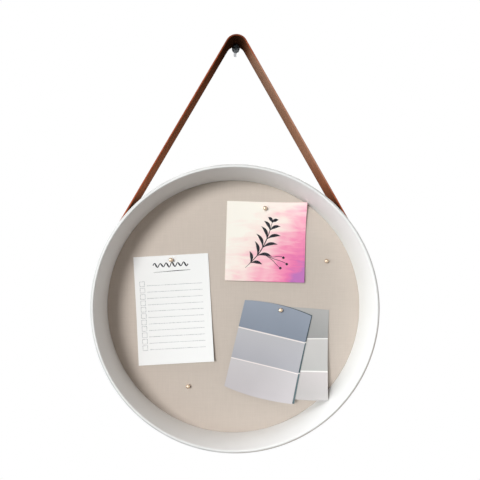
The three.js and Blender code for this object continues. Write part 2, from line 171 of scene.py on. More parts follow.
# Colours and wear of the cloth and the leather
LINEN_DARK = "#c8bcb1"
LINEN_LIGHT = "#d1c5ba"
LINEN_PAINTED_LIGHT = 0.1  # painted light and shade: how much lighter the cloth is painted towards the lamps and darker away from them
PAINTED_LIGHT_FROM = (-0.89, 0, 0.45)
LEATHER_DARK = "#7b4932"
LEATHER_LIGHT = "#9c664b"
# The strap's inner side has painted light and shade: a greyer, lighter tone on its right run,
# which faces the lamps, painted shade under the arch over the screw and down the left run, and
# painted shadow near each end, where it meets the rim. Each place is measured along it from its
# right end.
PAINTED_LIT_TONE = "#b08c76"
PAINTED_SHADE_TONE = "#2a1408"
PAINTED_SHADOW_TONE = "#210a04"
INNER_LIGHT_AND_SHADE = (
    (PAINTED_LIT_TONE, 0.4, (200 * MM, 270 * MM), (400 * MM, 426 * MM)),
    (PAINTED_LIT_TONE, 0.3, (300 * MM, 360 * MM), (400 * MM, 426 * MM)),
    (PAINTED_SHADE_TONE, 0.72, (406 * MM, 438 * MM), (460 * MM, 560 * MM)),
    (PAINTED_SHADE_TONE, 0.3, (420 * MM, 434 * MM), (466 * MM, 490 * MM)),
    (PAINTED_SHADOW_TONE, 0.9, (60 * MM, 110 * MM), (156 * MM, 200 * MM)),
    (PAINTED_SHADOW_TONE, 0.9, (694 * MM, 738 * MM), (784 * MM, 834 * MM)),
)
EDGE_LIGHT_AND_SHADE = (
    (PAINTED_LIT_TONE, 0.6, (170 * MM, 230 * MM), (385 * MM, 415 * MM)),
    (PAINTED_SHADE_TONE, 0.5, (420 * MM, 440 * MM), (460 * MM, 500 * MM)),
)

# Camera, lamps and room. The camera stands where the photo's perspective puts it.
CAMERA_PLACE = (-24.5 * MM, -542 * MM, -333.04 * MM)
CAMERA_ROLL = radians(-0.55)
CAMERA_LENS = 27.57
CAMERA_SHIFT = (0.049, 0.0858)
SKYLIGHT = "#f4ffff"
WARM_WALL = "#fff0e2"  # light thrown back by the room's far side
LAMPS = (  # name, where it shines from, strength, spread in degrees, tint
    ("key", (-0.512, -0.839, 0.186), 2.3, 22, "#ffffff"),
    ("left", (-0.72, -0.643, -0.262), 1.1, 30, SKYLIGHT),
    ("far_left", (-0.966, -0.259, 0), 0.5, 30, SKYLIGHT),
    ("top", (-0.339, -0.139, 0.931), 1.08, 30, "#ffffff"),
    ("right", (0.853, -0.5, 0.15), 0.32, 30, WARM_WALL),
    ("behind", (0.42, 0.68, 0.6), 2.2, 50, "#ffffff"),
)
AMBIENT = 0.1
WALL_CARD = (40 * MM, 50 * MM)
WALL_CARD_MIDDLE = -15 * MM
FLOOR_SIZE = (6, 3.8)
FLOOR_MIDDLE = (0, -1, -1.25)


# Making meshes


def turned(profile, steps, closed=False):
    """A profile of (radius, y) points, spun round the Y axis."""
    bm = bmesh.new()
    points = [bm.verts.new((radius, y, 0)) for radius, y in profile]
    edges = [bm.edges.new(pair) for pair in zip(points, points[1:])]
    if closed:
        edges.append(bm.edges.new((points[-1], points[0])))
    bmesh.ops.spin(
        bm,
        geom=points + edges,
        cent=(0, 0, 0),
        axis=(0, 1, 0),
        angle=tau,
        steps=steps,
        use_merge=True,
    )
    bmesh.ops.remove_doubles(bm, verts=bm.verts, dist=NEAR)
    bmesh.ops.recalc_face_normals(bm, faces=bm.faces)
    return bm


def round_ring(bm, radius, y, rounding, segments):
    """Rounds the edge loop that lies at a radius and a y."""

    def on_ring(vert):
        off = Vector((vert.co.x, vert.co.z)).length - radius
        return abs(off) < 10 * NEAR and abs(vert.co.y - y) < NEAR

    loop = [edge for edge in bm.edges if all(on_ring(vert) for vert in edge.verts)]
    bmesh.ops.bevel(
        bm,
        geom=loop,
        offset=rounding,
        offset_type="OFFSET",
        affect="EDGES",
        segments=segments,
        profile=0.5,
        material=-1,
    )


def scene_object(name, data):
    made = bpy.data.objects.new(name, data)
    bpy.context.scene.collection.objects.link(made)
    return made


def mesh_object(name, bm):
    mesh = bpy.data.meshes.new(name)
    bm.to_mesh(mesh)
    bm.free()
    return scene_object(name, mesh)


def cut(bm, cutters):
    """What is left of a solid when the cutters are taken out of it."""
    body = mesh_object("body_to_cut", bm)
    tools = [mesh_object("cutter", cutter) for cutter in cutters]
    for tool in tools:
        step = body.modifiers.new("cut", "BOOLEAN")
        step.operation = "DIFFERENCE"
        step.solver = "EXACT"
        step.object = tool
    graph = bpy.context.evaluated_depsgraph_get()
    left = bmesh.new()
    left.from_mesh(body.evaluated_get(graph).to_mesh())
    for thing in [body, *tools]:
        bpy.data.objects.remove(thing)
    bmesh.ops.remove_doubles(left, verts=left.verts, dist=NEAR)
    return left


def rectangle(width, length):
    """One flat face round the origin, facing up."""
    bm = bmesh.new()
    bmesh.ops.create_grid(bm, x_segments=1, y_segments=1, size=0.5)
    bmesh.ops.scale(bm, verts=bm.verts, vec=(width, length, 1))
    return bm


def block(size, centre):
    bm = bmesh.new()
    bmesh.ops.create_cube(
        bm, size=1, matrix=Matrix.Translation(centre) @ Matrix.Diagonal((*size, 1))
    )
    return bm


def piece(name, bm, body, stands_for, looks, crease=35):
    """A finished piece that rides on a body. Edges sharper than the crease angle stay crisp."""
    made = mesh_object(name, bm)
    for look in looks:
        made.data.materials.append(look)
    made.data.shade_smooth()
    made.data.set_sharp_from_angle(angle=radians(crease))
    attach(made, body)
    if stands_for:
        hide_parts(*stands_for)
    return made


# Finishes


def linear(code):
    """An sRGB hex colour as linear red, green, blue and alpha."""
    channels = [int(code[i : i + 2], 16) / 255 for i in (1, 3, 5)]
    return [c / 12.92 if c <= 0.04045 else ((c + 0.055) / 1.055) ** 2.4 for c in channels] + [1]


def give(tree, socket, value):
    """Sets a socket to a value, or links it to another socket or to a node's first output."""
    if isinstance(value, bpy.types.Node):
        value = value.outputs[0]
    if isinstance(value, bpy.types.NodeSocket):
        tree.links.new(value, socket)
    else:
        socket.default_value = value


def add(tree, kind, inputs=None, **settings):
    """A node with its settings. Its inputs are given by name or number."""
    made = tree.nodes.new(kind)
    for name, value in settings.items():
        setattr(made, name, value)
    for name, value in (inputs or {}).items():
        give(tree, made.inputs[name], value)
    return made


def feed(tree, shader, **values):
    """Gives a shader's sockets their values or patterns."""
    for name, value in values.items():
        give(tree, shader.inputs[name.replace("_", " ")], value)


def finish(name, **constants):
    """A material, its node tree and its shader, with what is the same all over on the sockets."""
    made = bpy.data.materials.new(name)
    made.use_nodes = True
    shader = made.node_tree.nodes["Principled BSDF"]
    feed(made.node_tree, shader, **constants)
    return made, made.node_tree, shader


def set_ramp(node, stops):
    """Gives a colour ramp its (place, sRGB hex) stops."""
    ramp = node.color_ramp
    while len(ramp.elements) < len(stops):
        ramp.elements.new(1)
    for element, (place, code) in zip(ramp.elements, stops):
        element.position = place
        element.color = linear(code)


def per_metre(size):
    """The scale of a noise whose features are of a size."""
    return 1 / size


def wave_scale(length):
    """The scale of a wave texture whose waves are of a length, as it turns 20 radians a unit."""
    return tau / (20 * length)


def satin_lacquer():
    # Sprayed satin lacquer over a turned board ring: a clean white with the spray's faint orange
    # peel and the lathe's rings just showing through, and painted shade along the outer edge: a
    # patchy grey line on the lip's rounding that turns brown at the lower right, which faces away
    # from the lamps
    made, tree, shader = finish("satin_lacquer_on_turned_board", Specular_IOR_Level=0.25)
    place = add(tree, "ShaderNodeTexCoord").outputs["Object"]
    centred = add(tree, "ShaderNodeMapping", {"Vector": place, "Location": -AXIS})
    peel = add(
        tree,
        "ShaderNodeTexNoise",
        {"Vector": centred, "Scale": per_metre(ORANGE_PEEL), "Detail": 2},
    )
    rings = add(
        tree,
        "ShaderNodeTexWave",
        {"Vector": centred, "Scale": wave_scale(LATHE_RINGS), "Distortion": 1.5},
        wave_type="RINGS",
        rings_direction="Y",
    )
    relief = add(
        tree,
        "ShaderNodeMath",
        {0: rings.outputs["Fac"], 1: 0.25, 2: peel},
        operation="MULTIPLY_ADD",
    )
    bump = add(tree, "ShaderNodeBump", {"Height": relief, "Strength": 0.25, "Distance": 0.05 * MM})
    cloud = add(tree, "ShaderNodeTexNoise", {"Vector": centred, "Scale": per_metre(LACQUER_CLOUDS)})
    white = add(tree, "ShaderNodeValToRGB", {"Fac": cloud})
    set_ramp(white, [(0.3, "#f1f1f0"), (0.7, "#f6f6f5")])

    axes = add(tree, "ShaderNodeSeparateXYZ", {"Vector": centred})
    flat = add(tree, "ShaderNodeCombineXYZ", {"X": axes.outputs["X"], "Y": axes.outputs["Z"]})
    radius = add(tree, "ShaderNodeVectorMath", {0: flat}, operation="LENGTH")
    at_edge = add(
        tree,
        "ShaderNodeMapRange",
        {
            "Value": radius.outputs["Value"],
            "From Min": OUTER_RADIUS - EDGE_SHADE_IN[0],
            "From Max": OUTER_RADIUS - EDGE_SHADE_IN[1],
        },
    )
    at_front = add(
        tree,
        "ShaderNodeMapRange",
        {
            "Value": axes.outputs["Y"],
            "From Min": LIP_Y + EDGE_SHADE_BACK[0],
            "From Max": LIP_Y + EDGE_SHADE_BACK[1],
        },
    )
    # Painted shade: a patchy grey line on the lip's outer rounding, deepening to brown at the lower
    # right, which faces away from the lamps
    edge_shade_noise = add(
        tree,
        "ShaderNodeTexNoise",
        {"Vector": centred, "Scale": per_metre(EDGE_SHADE_PATCHES), "Detail": 6},
    )
    edge_shade_patchy = add(
        tree,
        "ShaderNodeMapRange",
        {"Value": edge_shade_noise, "From Min": 0.3, "From Max": 0.6, "To Min": 0.4, "To Max": 0.75},
    )
    edge = add(tree, "ShaderNodeMath", {0: at_edge, 1: at_front}, operation="MULTIPLY")
    low_right = add(
        tree, "ShaderNodeVectorMath", {0: centred, 1: LOWER_RIGHT}, operation="DOT_PRODUCT"
    )
    toward_shaded_side = add(
        tree,
        "ShaderNodeMapRange",
        {"Value": low_right.outputs["Value"], "From Min": EDGE_SHADE_DEEPENS[0], "From Max": EDGE_SHADE_DEEPENS[1]},
    )
    # The painted shade's colours: grey all round, brown to the lower right
    bare = add(
        tree,
        "ShaderNodeMix",
        {"Factor": toward_shaded_side, 6: linear("#a0a19e"), 7: linear("#a3907f")},
        data_type="RGBA",
    )
    edge_shade_share = add(tree, "ShaderNodeMapRange", {"Value": toward_shaded_side, "To Min": 0.7, "To Max": 0.8})
    patchy_edge_shade = add(tree, "ShaderNodeMath", {0: edge, 1: edge_shade_patchy}, operation="MULTIPLY")
    edge_shade = add(tree, "ShaderNodeMath", {0: patchy_edge_shade, 1: edge_shade_share}, operation="MULTIPLY")
    colour = add(
        tree, "ShaderNodeMix", {"Factor": edge_shade, 6: white, 7: bare.outputs[2]}, data_type="RGBA"
    )
    dull = add(tree, "ShaderNodeMapRange", {"Value": peel, "To Min": 0.45, "To Max": 0.6})
    feed(tree, shader, Base_Color=colour.outputs[2], Roughness=dull, Normal=bump)
    return made


def linen_cloth():
    # Plain-woven linen and cotton: matt beige, its threads crossing in a fine grid, with slubs
    # where a thread thickens. The real threads, 0.6 mm apart, would blur, so they lie 2.4 mm apart.
    made, tree, shader = finish(
        "plain_woven_linen", Roughness=0.92, Sheen_Weight=0.12, Sheen_Roughness=0.6
    )
    place = add(tree, "ShaderNodeTexCoord").outputs["Object"]
    threads = [
        add(
            tree,
            "ShaderNodeTexWave",
            {
                "Vector": place,
                "Scale": wave_scale(LINEN_THREADS),
                "Distortion": 0.6,
                "Detail Scale": 4,
            },
            bands_direction=direction,
        )
        for direction in "XZ"
    ]
    weave = add(
        tree,
        "ShaderNodeMath",
        {0: threads[0].outputs["Fac"], 1: threads[1].outputs["Fac"]},
        operation="MULTIPLY",
    )
    slubs = []
    for stretch in ((1, 1, 14), (14, 1, 1)):
        along = add(tree, "ShaderNodeMapping", {"Vector": place, "Scale": stretch})
        slubs.append(
            add(
                tree,
                "ShaderNodeTexNoise",
                {"Vector": along, "Scale": per_metre(LINEN_SLUBS), "Detail": 3},
            )
        )
    uneven = add(tree, "ShaderNodeMath", dict(enumerate(slubs)), operation="ADD")
    tone = add(tree, "ShaderNodeMath", {0: weave, 1: 0.35, 2: uneven}, operation="MULTIPLY_ADD")
    half = add(tree, "ShaderNodeMath", {0: tone, 1: 0.5}, operation="MULTIPLY")
    colour = add(tree, "ShaderNodeValToRGB", {"Fac": half})
    set_ramp(colour, [(0.25, LINEN_DARK), (0.85, LINEN_LIGHT)])
    centred = add(tree, "ShaderNodeMapping", {"Vector": place, "Location": -AXIS})
    # Painted light and shade: the cloth is painted lighter on the side the lamps shine from and
    # darker on the far side
    toward_lamps = add(
        tree, "ShaderNodeVectorMath", {0: centred, 1: PAINTED_LIGHT_FROM}, operation="DOT_PRODUCT"
    )
    painted_light = add(
        tree,
        "ShaderNodeMapRange",
        {
            "Value": toward_lamps.outputs["Value"],
            "From Min": -DISH_RADIUS,
            "From Max": DISH_RADIUS,
            "To Min": 1 - LINEN_PAINTED_LIGHT,
            "To Max": 1 + LINEN_PAINTED_LIGHT,
        },
    )
    shade = add(tree, "ShaderNodeVectorMath", {0: colour, "Scale": painted_light}, operation="SCALE")
    bump = add(tree, "ShaderNodeBump", {"Height": tone, "Strength": 0.35, "Distance": 0.12 * MM})
    feed(tree, shader, Base_Color=shade, Normal=bump)
    return made


def paint_light_along(tree, along, shade, zones):
    """A tone with zones of painted light and shade along a strap: colour, strength, where each
    grows and fades.
    """
    reach = add(tree, "ShaderNodeSeparateXYZ", {"Vector": along}).outputs["X"]
    for code, most, grows, fades in zones:
        inside = [
            add(
                tree,
                "ShaderNodeMapRange",
                {
                    "Value": reach,
                    "From Min": low,
                    "From Max": high,
                    "To Min": first,
                    "To Max": last,
                },
                interpolation_type="SMOOTHSTEP",
            )
            for (low, high), first, last in ((grows, 0, most), (fades, 1, 0))
        ]
        share = add(tree, "ShaderNodeMath", dict(enumerate(inside)), operation="MULTIPLY")
        shade = add(
            tree,
            "ShaderNodeMix",
            {"Factor": share, 6: shade, 7: linear(code)},
            data_type="RGBA",
        ).outputs[2]
    return shade


def strap_leather(name, zones=()):
    # Vegetable-tanned leather, waxed: matt brown, with small pores and with streaks that run the
    # strap's length, as it is cut along the hide
    made, tree, shader = finish(name, Specular_IOR_Level=0)
    along = add(tree, "ShaderNodeTexCoord").outputs["UV"]
    stretched = add(tree, "ShaderNodeMapping", {"Vector": along, "Scale": (1 / 9, 1, 1)})
    streaks = add(
        tree,
        "ShaderNodeTexNoise",
        {"Vector": stretched, "Scale": per_metre(LEATHER_STREAKS), "Detail": 4, "Roughness": 0.6},
    )
    clouds = add(
        tree,
        "ShaderNodeTexNoise",
        {"Vector": along, "Scale": per_metre(LEATHER_CLOUDS), "Detail": 2},
    )
    tone = add(tree, "ShaderNodeMath", {0: clouds, 1: 0.4, 2: streaks}, operation="MULTIPLY_ADD")
    colour = add(tree, "ShaderNodeValToRGB", {"Fac": tone})
    set_ramp(colour, [(0.45, LEATHER_DARK), (0.95, LEATHER_LIGHT)])
    # Painted light and shade along the strap, where zones are given
    shade = paint_light_along(tree, along, colour, zones)
    pores = add(tree, "ShaderNodeTexVoronoi", {"Vector": along, "Scale": per_metre(LEATHER_PORES)})
    relief = add(
        tree,
        "ShaderNodeMath",
        {0: pores.outputs["Distance"], 1: 0.3, 2: streaks},
        operation="MULTIPLY_ADD",
    )
    bump = add(tree, "ShaderNodeBump", {"Height": relief, "Strength": 0.25, "Distance": 0.1 * MM})
    wax = add(tree, "ShaderNodeMapRange", {"Value": streaks, "To Min": 0.6, "To Max": 0.8})
    feed(tree, shader, Base_Color=shade, Roughness=wax, Normal=bump)
    return made


def burnished_edge():
    # The strap's cut edge, dyed and rubbed hot: warmer and redder than the face, its fibres
    # pressed flat
    made, tree, shader = finish("burnished_leather_edge", Roughness=0.6, Specular_IOR_Level=0.15)
    along = add(tree, "ShaderNodeTexCoord").outputs["UV"]
    stretched = add(tree, "ShaderNodeMapping", {"Vector": along, "Scale": (1 / 10, 1, 1)})
    fibres = add(
        tree,
        "ShaderNodeTexNoise",
        {"Vector": stretched, "Scale": per_metre(EDGE_FIBRES), "Detail": 3},
    )
    colour = add(tree, "ShaderNodeValToRGB", {"Fac": fibres})
    set_ramp(colour, [(0.3, "#863a1f"), (0.7, "#a95732")])
    # Painted light and shade: lighter on the right run, darker where it bends over the screw
    shade = paint_light_along(tree, along, colour, EDGE_LIGHT_AND_SHADE)
    bump = add(tree, "ShaderNodeBump", {"Height": fibres, "Strength": 0.4, "Distance": 0.1 * MM})
    feed(tree, shader, Base_Color=shade, Normal=bump)
    return made


def grained_metal(name, dark, light, roughness, grain):
    """A metal whose colour and roughness waver between two values with its grain."""
    made, tree, shader = finish(name, Metallic=1)
    place = add(tree, "ShaderNodeTexCoord").outputs["Object"]
    marks = add(
        tree, "ShaderNodeTexNoise", {"Vector": place, "Scale": per_metre(grain), "Detail": 5}
    )
    colour = add(tree, "ShaderNodeValToRGB", {"Fac": marks})
    set_ramp(colour, [(0.35, dark), (0.65, light)])
    smooth, rough = roughness
    gloss = add(
        tree,
        "ShaderNodeMapRange",
        {"Value": marks, "From Min": 0.3, "From Max": 0.7, "To Min": smooth, "To Max": rough},
    )
    bump = add(tree, "ShaderNodeBump", {"Height": marks, "Strength": 0.2, "Distance": 0.02 * MM})
    feed(tree, shader, Base_Color=colour, Roughness=gloss, Normal=bump)
    return made


def pressed_cork():
    # Cork granules pressed with glue: 3 mm grains from honey to bark brown, dark bark between them
    made, tree, shader = finish("pressed_granulated_cork", Roughness=0.9)
    place = add(tree, "ShaderNodeTexCoord").outputs["Object"]
    grains = add(tree, "ShaderNodeTexVoronoi", {"Vector": place, "Scale": per_metre(CORK_GRAINS)})
    gaps = add(
        tree,
        "ShaderNodeTexVoronoi",
        {"Vector": place, "Scale": per_metre(CORK_GRAINS)},
        feature="DISTANCE_TO_EDGE",
    )
    tone = add(tree, "ShaderNodeSeparateColor", {"Color": grains.outputs["Color"]})
    colour = add(tree, "ShaderNodeValToRGB", {"Fac": tone.outputs["Red"]})
    set_ramp(colour, [(0, "#7b5633"), (0.4, "#b58756"), (1, "#d3ab79")])
    bark = add(
        tree,
        "ShaderNodeMapRange",
        {"Value": gaps.outputs["Distance"], "From Max": 0.12, "To Min": 1, "To Max": 0},
    )
    mixed = add(
        tree, "ShaderNodeMix", {"Factor": bark, 6: colour, 7: linear("#4e3320")}, data_type="RGBA"
    )
    bump = add(
        tree,
        "ShaderNodeBump",
        {"Height": gaps.outputs["Distance"], "Strength": 0.6, "Distance": 0.5 * MM},
    )
    feed(tree, shader, Base_Color=mixed.outputs[2], Normal=bump)
    return made


def hardboard():
    # Hot-pressed wood fibre board: dark honey brown, its fibres a short random fleck
    made, tree, shader = finish("hot_pressed_hardboard")
    place = add(tree, "ShaderNodeTexCoord").outputs["Object"]
    fibres = add(
        tree,
        "ShaderNodeTexNoise",
        {
            "Vector": place,
            "Scale": per_metre(BOARD_FIBRES),
            "Detail": 8,
            "Roughness": 0.7,
            "Distortion": 1.2,
        },
    )
    clouds = add(
        tree, "ShaderNodeTexNoise", {"Vector": place, "Scale": per_metre(BOARD_CLOUDS), "Detail": 2}
    )
    tone = add(tree, "ShaderNodeMath", {0: clouds, 1: 0.12, 2: fibres}, operation="MULTIPLY_ADD")
    colour = add(tree, "ShaderNodeValToRGB", {"Fac": tone})
    set_ramp(colour, [(0.35, "#5f4027"), (0.8, "#a27548")])
    gloss = add(tree, "ShaderNodeMapRange", {"Value": fibres, "To Min": 0.5, "To Max": 0.8})
    bump = add(tree, "ShaderNodeBump", {"Height": fibres, "Strength": 0.3, "Distance": 0.1 * MM})
    feed(tree, shader, Base_Color=colour, Roughness=gloss, Normal=bump)
    return made


def paper_tooth(tree, shader, grain, depth):
    """The slight roughness of a paper's surface."""
    place = add(tree, "ShaderNodeTexCoord").outputs["Object"]
    fibres = add(
        tree, "ShaderNodeTexNoise", {"Vector": place, "Scale": per_metre(grain), "Detail": 6}
    )
    bump = add(tree, "ShaderNodeBump", {"Height": fibres, "Strength": 0.3, "Distance": depth})
    feed(tree, shader, Normal=bump)
    return fibres


def ruled_paper():
    # Uncoated offset pad paper: a bright matt white, printed in pale grey with rules and boxes
    made, tree, shader = finish("uncoated_ruled_pad_paper", Roughness=0.85)
    paper_tooth(tree, shader, grain=1.2 * MM, depth=0.03 * MM)
    page = add(tree, "ShaderNodeTexCoord").outputs["UV"]
    axes = add(tree, "ShaderNodeSeparateXYZ", {"Vector": page})
    uneven = add(tree, "ShaderNodeTexNoise", {"Vector": page, "Scale": 60, "Detail": 3})
    strength = add(
        tree,
        "ShaderNodeMapRange",
        {"Value": uneven, "From Min": 0.35, "From Max": 0.65, "To Min": 0.4, "To Max": 0.95},
    )
    cell_top = RULE_TOP - BOX_RISE - RULE_PITCH / 2
    rule_middle, rule_half = (RULE_LEFT + RULE_RIGHT) / 2, (RULE_RIGHT - RULE_LEFT) / 2
    values = {"x": axes.outputs["X"], "y": axes.outputs["Y"], "strength": strength}
    for name, operation, *inputs in (
        ("across", "MULTIPLY", "x", MEMO_SIZE[0]),
        ("from_top", "SUBTRACT", 1, "y"),
        ("down", "MULTIPLY", "from_top", MEMO_SIZE[1]),
        ("past_top", "SUBTRACT", "down", cell_top),
        ("row", "DIVIDE", "past_top", RULE_PITCH),
        ("in_list", "COMPARE", "row", RULE_COUNT / 2, RULE_COUNT / 2),
        ("row_share", "FRACT", "row"),
        ("off_middle", "SUBTRACT", "row_share", 0.5),
        ("below", "MULTIPLY", "off_middle", RULE_PITCH),
        ("on_rule", "COMPARE", "below", BOX_RISE, RULE_WIDTH / 2),
        ("in_span", "COMPARE", "across", rule_middle, rule_half),
        ("rules", "MULTIPLY", "on_rule", "in_span"),
        ("from_box", "SUBTRACT", "across", BOX_MIDDLE),
        ("box_across", "ABSOLUTE", "from_box"),
        ("box_down", "ABSOLUTE", "below"),
        ("box_reach", "MAXIMUM", "box_across", "box_down"),
        ("boxes", "COMPARE", "box_reach", BOX_SIZE / 2, RULE_WIDTH / 2),
        ("marks", "MAXIMUM", "rules", "boxes"),
        ("listed", "MULTIPLY", "marks", "in_list"),
        ("printed", "MULTIPLY", "listed", "strength"),
    ):
        sockets = {i: values.get(value, value) for i, value in enumerate(inputs)}
        values[name] = add(tree, "ShaderNodeMath", sockets, operation=operation)
    colour = add(
        tree,
        "ShaderNodeMix",
        {"Factor": values["printed"], 6: linear("#fdfdfc"), 7: linear("#a9aaad")},
        data_type="RGBA",
    )
    feed(tree, shader, Base_Color=colour.outputs[2])
    return made


def wash_card():
    # Art card with a flowing wash in pinks: soft matt, pigment pooled in long streaks
    made, tree, shader = finish("art_card_with_pink_wash", Roughness=0.7)
    paper_tooth(tree, shader, grain=1.5 * MM, depth=0.04 * MM)
    page = add(tree, "ShaderNodeTexCoord").outputs["UV"]
    flow = add(
        tree, "ShaderNodeTexNoise", {"Vector": page, "Scale": 1.7, "Detail": 3, "Distortion": 0.8}
    )
    turned_page = add(
        tree,
        "ShaderNodeMapping",
        {"Vector": page, "Rotation": (0, 0, radians(38)), "Scale": (1.2, 5, 1)},
    )
    streaks = add(
        tree,
        "ShaderNodeTexNoise",
        {"Vector": turned_page, "Scale": 2.2, "Detail": 5, "Roughness": 0.55, "Distortion": 0.5},
    )
    corner = add(
        tree, "ShaderNodeVectorMath", {0: page, 1: (0.75, -0.55, 0)}, operation="DOT_PRODUCT"
    )
    warped = add(
        tree,
        "ShaderNodeMath",
        {0: flow, 1: 0.75, 2: corner.outputs["Value"]},
        operation="MULTIPLY_ADD",
    )
    pooled = add(tree, "ShaderNodeMath", {0: streaks, 1: 0.75, 2: warped}, operation="MULTIPLY_ADD")
    scaled = add(tree, "ShaderNodeMath", {0: pooled, 1: 0.5}, operation="MULTIPLY")
    colour = add(tree, "ShaderNodeValToRGB", {"Fac": scaled})
    set_ramp(
        colour,
        [
            (0.24, "#fffaf0"),
            (0.36, "#feeae3"),
            (0.46, "#fcc6cf"),
            (0.56, "#f692b6"),
            (0.65, "#ea78ae"),
            (0.74, "#bf72b8"),
        ],
    )
    feed(tree, shader, Base_Color=colour)
    return made


def colour_card(name, bands, divider, dividers=(0.332, 0.686), skew=0):
    """Coated card with three painted bands, parted by bare strips that may be a little askew.

    The bands go from the top down, and each fades from one colour at its foot to another one at
    its head.
    """
    made, tree, shader = finish(name, Roughness=0.6)
    fibres = paper_tooth(tree, shader, grain=1 * MM, depth=0.02 * MM)
    page = add(tree, "ShaderNodeTexCoord").outputs["UV"]
    axes = add(tree, "ShaderNodeSeparateXYZ", {"Vector": page})
    up = add(
        tree,
        "ShaderNodeMath",
        {0: axes.outputs["X"], 1: skew, 2: axes.outputs["Y"]},
        operation="MULTIPLY_ADD",
    )
    half = DIVIDER_WIDTH / 2
    edges = [0, *(middle + side for middle in dividers for side in (-half, half)), 1]
    bare = (divider, divider)
    stops = []
    for low, high, (foot, head) in zip(
        edges, edges[1:], (bands[2], bare, bands[1], bare, bands[0])
    ):
        stops += [(low + CRISP_EDGE, foot), (high - CRISP_EDGE, head)]
    painted = add(tree, "ShaderNodeValToRGB", {"Fac": up})
    set_ramp(painted, stops)
    cloud = add(tree, "ShaderNodeTexNoise", {"Vector": page, "Scale": 1.5, "Detail": 2})
    shade = add(tree, "ShaderNodeMath", {0: cloud, 1: 0.16, 2: 0.92}, operation="MULTIPLY_ADD")
    tooth = add(tree, "ShaderNodeMath", {0: fibres, 1: 0.04, 2: shade}, operation="MULTIPLY_ADD")
    colour = add(tree, "ShaderNodeVectorMath", {0: painted, "Scale": tooth}, operation="SCALE")
    feed(tree, shader, Base_Color=colour)
    return made


def brush_ink():
    # Black ink laid on thick: nearly black, a little blue, with the sheen of dried ink
    made, tree, shader = finish("black_brush_ink", Roughness=0.5, Specular_IOR_Level=0.2)
    place = add(tree, "ShaderNodeTexCoord").outputs["Object"]
    pooled = add(
        tree, "ShaderNodeTexNoise", {"Vector": place, "Scale": per_metre(INK_POOLS), "Detail": 3}
    )
    colour = add(tree, "ShaderNodeValToRGB", {"Fac": pooled})
    set_ramp(colour, [(0.3, "#14151a"), (0.75, "#33353b")])
    feed(tree, shader, Base_Color=colour)
    return made


def pale_floor():
    # Smooth painted studio floor: plain and pale, a little mottled
    made, tree, shader = finish("painted_studio_floor", Roughness=0.9)
    place = add(tree, "ShaderNodeTexCoord").outputs["Object"]
    cloud = add(tree, "ShaderNodeTexNoise", {"Vector": place, "Scale": per_metre(FLOOR_CLOUDS)})
    colour = add(tree, "ShaderNodeValToRGB", {"Fac": cloud})
    set_ramp(colour, [(0.3, "#efeeec"), (0.7, "#f3f2f0")])
    feed(tree, shader, Base_Color=colour)
    return made


lacquer = satin_lacquer()
linen = linen_cloth()
leather = strap_leather("waxed_vegetable_tanned_leather")
# Its inner side carries painted light and shade along its length
shaded_inner_leather = strap_leather("waxed_leather_painted_light_inside", INNER_LIGHT_AND_SHADE)
leather_edge = burnished_edge()
# Black-phosphated steel: charcoal, with worn grey where the driver has touched it
black_steel = grained_metal(
    "black_phosphated_steel", "#3a3d40", "#74797c", (0.3, 0.5), grain=1.5 * MM
)
# Zinc-plated steel: cool grey and bright, in a small random sparkle
zinc_steel = grained_metal("zinc_plated_steel", "#9a9c9f", "#c9cbcd", (0.22, 0.42), grain=0.8 * MM)
# Brass gone dull with handling: brown gold, with hairline scratches that soften its reflections
brass = grained_metal("dulled_brass", "#b39d85", "#d7c5af", (0.36, 0.5), grain=0.7 * MM)
memo_paper = ruled_paper()
pink_card = wash_card()
blue_card = colour_card(
    "coated_card_in_blue_greys",
    (("#838c9a", "#929aa8"), ("#adadb4", "#bcbbbf"), ("#c2bdc0", "#cac6c8")),
    "#efe7e4",
)
# The slate teal card shows only as a dark line along the blue-grey card's right edge: a card that
# also stands in for the shadow along that edge
dark_card = colour_card(
    "coated_card_in_slate_teals",
    (("#2f4146", "#394c52"), ("#44575b", "#506468"), ("#506367", "#5c7074")),
    "#e9e6e0",
)
warm_card = colour_card(
    "coated_card_in_warm_greys",
    (("#999998", "#b3b1af"), ("#b6b5b3", "#c6c3c1"), ("#b9b5b4", "#c9c3c3")),
    "#ebe9e6",
    dividers=(0.236, 0.606),
    skew=-0.065,
)
ink = brush_ink()


# Rim


def rim():
    """A turned ring: a drafted dish, a rounded lip, and a shoulder and a rebate for the board."""
    shoulder = CLOTH_Y - FIT_GAP
    lip_inner = OUTER_RADIUS - LIP_WIDTH
    back = rim_high.y
    corners = [
        (REBATE_RADIUS, back),
        (REBATE_RADIUS, shoulder),
        (DISH_RADIUS, shoulder),
        (lip_inner, LIP_Y),
        (OUTER_RADIUS, LIP_Y),
        (OUTER_RADIUS, back),
    ]
    bm = turned(corners, RIM_STEPS, closed=True)
    round_ring(bm, OUTER_RADIUS, LIP_Y, LIP_ROUNDING, 6)
    round_ring(bm, lip_inner, LIP_Y, DISH_ROUNDING, 4)
    round_ring(bm, OUTER_RADIUS, back, BACK_ROUNDING, 3)
    round_ring(bm, DISH_RADIUS, shoulder, SHOULDER_ROUNDING, 2)
    bmesh.ops.translate(bm, verts=bm.verts, vec=AXIS)
    return piece("turned_rim", bm, "board", ["rim"], [lacquer])


# Cloth


